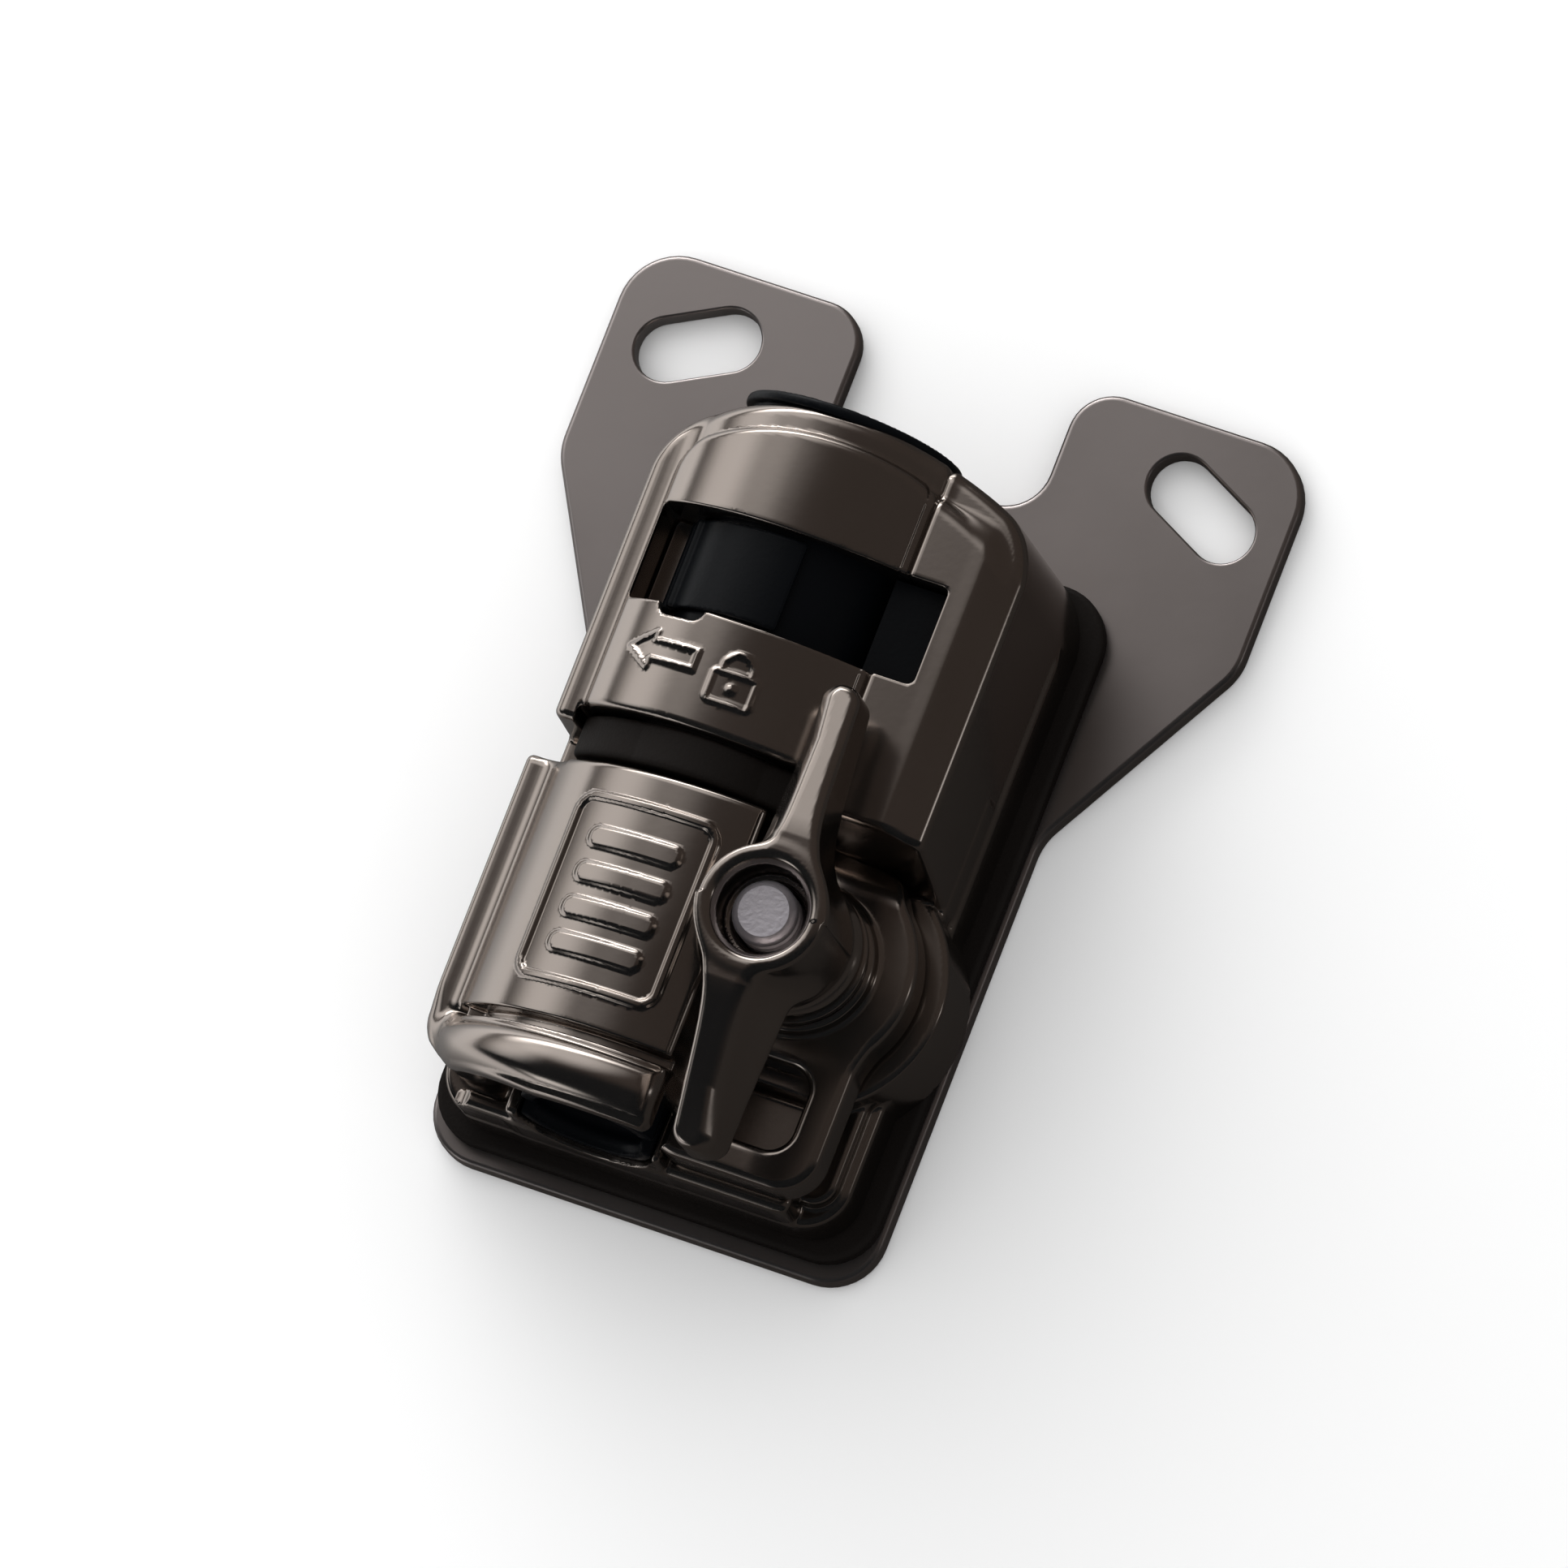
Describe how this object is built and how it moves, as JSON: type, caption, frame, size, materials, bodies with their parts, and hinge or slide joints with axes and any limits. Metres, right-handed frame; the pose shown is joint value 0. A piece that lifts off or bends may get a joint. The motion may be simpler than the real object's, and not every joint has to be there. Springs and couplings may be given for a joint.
{
  "type": "drum tom mounting bracket",
  "caption": "Slotted plate with a rubber-isolated cast body, a hinged rod clamp closed by a wing nut and a memory-lock latch.",
  "frame": {"origin": "centre of the mount plate's back face, at the middle of the plate's outline", "axes": "+Z out of the plate's front towards the wing nut, +Y along the rod towards the slotted ears, +X to the right seen from the front"},
  "size_m": [0.09, 0.115, 0.0525],
  "materials": {
    "black_nickel": "polished black nickel plate on a zinc casting",
    "plate_metal": "black nickel plate on pressed steel",
    "zinc_steel": "bright zinc plate",
    "spring_steel": "oiled spring steel",
    "rubber": "matte moulded rubber",
    "nylon": "black moulded nylon"
  },
  "bodies": {
    "bracket": {"mount_plate": "plate_metal", "isolation_gasket": "rubber", "plate_screw_1": "zinc_steel", "plate_screw_2": "zinc_steel", "plate_screw_3": "zinc_steel", "plate_screw_4": "zinc_steel", "main_body": "black_nickel", "body_grip_insert": "nylon", "clamp_stud": "zinc_steel", "clamp_spring": "spring_steel", "jaw_hinge_pin": "zinc_steel", "hinge_washer_lower": "nylon", "hinge_washer_upper": "nylon", "window_liner": "nylon", "top_collar": "nylon", "lower_bush": "rubber", "detent_ball": "spring_steel", "detent_spring": "spring_steel", "detent_screw": "zinc_steel"},
    "jaw": {"clamp_jaw": "black_nickel", "jaw_liner": "nylon"},
    "nut_carrier": {"nut_wave_washer": "spring_steel", "nut_washer": "zinc_steel"},
    "wing": {"wing_nut": "black_nickel"},
    "latch": {"latch_sleeve": "nylon", "latch_thumb_tab": "nylon"}
  },
  "joints": [
    {"name": "nut_travel", "type": "slide", "parent": "bracket", "child": "nut_carrier", "axis": [0, 0, 1], "range_m": [0, 0.0075]},
    {"name": "nut_spin", "type": "hinge", "parent": "nut_carrier", "child": "wing", "pos_m": [0.014, -0.0251, 0.043], "axis": [0, 0, 1], "range_deg": [0, 2160]},
    {"name": "jaw_swing", "type": "hinge", "parent": "bracket", "child": "jaw", "pos_m": [-0.0225, -0.0325, 0.021], "axis": [0, -1, 0], "range_deg": [0, 8.2], "deforming": ["clamp_spring"]},
    {"name": "latch_turn", "type": "hinge", "parent": "bracket", "child": "latch", "pos_m": [-0.004, 0.0155, 0.025], "axis": [0, 1, 0], "range_deg": [0, 45]}
  ],
  "couplings": [
    {"joint": "nut_travel", "follows": "nut_spin", "m_per_rad": 0.00019894},
    {"joint": "jaw_swing", "follows": "nut_spin", "ratio": 0.0037963}
  ]
}
